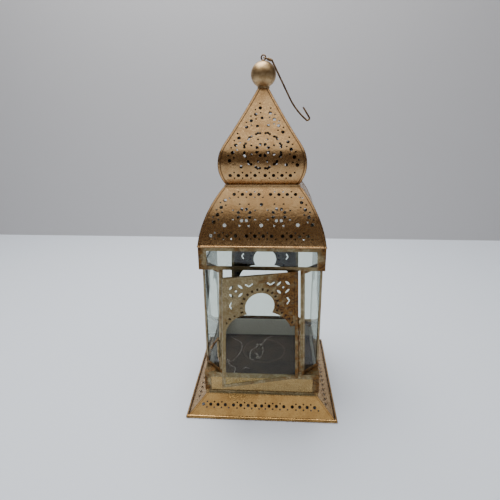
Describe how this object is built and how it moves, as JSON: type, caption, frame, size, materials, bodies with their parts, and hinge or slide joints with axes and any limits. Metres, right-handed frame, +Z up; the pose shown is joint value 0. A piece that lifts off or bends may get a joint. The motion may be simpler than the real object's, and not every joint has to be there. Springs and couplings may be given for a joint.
{
  "type": "candle lantern",
  "caption": "Square metal candle lantern with a two-tier pierced roof, glazed cage with cut corners, hinged arched door, turning latch and a swinging hanging hook.",
  "frame": {"origin": "middle of the base, in the plane the skirt hem stands on", "axes": "+Z up along the lantern, -Y the front with the door, +X to the right seen from the front"},
  "size_m": [0.14, 0.1434, 0.3149],
  "materials": {
    "pierced_gold": "satin antique gold, finely mottled",
    "plain_gold": "smooth satin antique gold",
    "ball_gold": "satin pale gold",
    "tin_strip": "aged tin with a brassy tarnish",
    "tin_arch": "aged tin with a brassy tarnish",
    "dark_tin": "dull dark tin",
    "dark_wire": "dark oxidised iron wire",
    "glass": "clear window glass"
  },
  "bodies": {
    "lantern": {"skirt_front": "pierced_gold", "skirt_right": "pierced_gold", "skirt_back": "pierced_gold", "skirt_left": "pierced_gold", "plinth_front": "plain_gold", "plinth_right": "plain_gold", "plinth_back": "plain_gold", "plinth_left": "plain_gold", "plinth_strips": "tin_strip", "plinth_low_rail": "tin_strip", "plinth_top_rail": "tin_strip", "floor_plate": "dark_tin", "corner_plates": "dark_tin", "post_front_left": "tin_strip", "post_front_right": "tin_strip", "post_right_front": "tin_strip", "post_right_back": "tin_strip", "post_back_right": "tin_strip", "post_back_left": "tin_strip", "post_left_back": "tin_strip", "post_left_front": "tin_strip", "cage_sill": "tin_strip", "cage_head": "tin_strip", "glass_left": "glass", "glass_right": "glass", "glass_back": "glass", "glass_corner_fl": "glass", "glass_corner_fr": "glass", "glass_corner_br": "glass", "glass_corner_bl": "glass", "arch_left": "tin_arch", "arch_right": "tin_arch", "arch_back": "tin_arch", "soffit_plates": "dark_tin", "cornice_low_rail": "tin_strip", "cornice_top_rail": "tin_strip", "cornice_strips": "tin_strip", "cornice_glass_front": "glass", "cornice_glass_right": "glass", "cornice_glass_back": "glass", "cornice_glass_left": "glass", "roof_low_front": "pierced_gold", "roof_low_right": "pierced_gold", "roof_low_back": "pierced_gold", "roof_low_left": "pierced_gold", "neck_band": "tin_strip", "roof_up_front": "pierced_gold", "roof_up_right": "pierced_gold", "roof_up_back": "pierced_gold", "roof_up_left": "pierced_gold", "ball": "ball_gold", "top_eye": "dark_wire", "hinge_knuckles": "tin_strip", "hinge_pin": "dark_wire", "latch_tube": "tin_strip"},
    "door": {"door_frame": "tin_strip", "door_arch": "tin_arch", "door_glass": "glass"},
    "latch": {"latch_wire": "dark_wire"},
    "hanger": {"hook": "dark_wire"}
  },
  "joints": [
    {"name": "door_hinge", "type": "hinge", "parent": "lantern", "child": "door", "pos_m": [0.03485, -0.0547, 0.0395], "axis": [-0.029, 0, 0.9996], "range_deg": [-14, 100]},
    {"name": "latch_turn", "type": "hinge", "parent": "lantern", "child": "latch", "pos_m": [-0.0392, -0.0542, 0.066], "axis": [0, 0, 1], "range_deg": [-60, 93]},
    {"name": "hook_swing", "type": "hinge", "parent": "lantern", "child": "hanger", "pos_m": [0, 0, 0.3123], "axis": [-0.342, -0.9397, 0], "range_deg": [0, 140]}
  ]
}
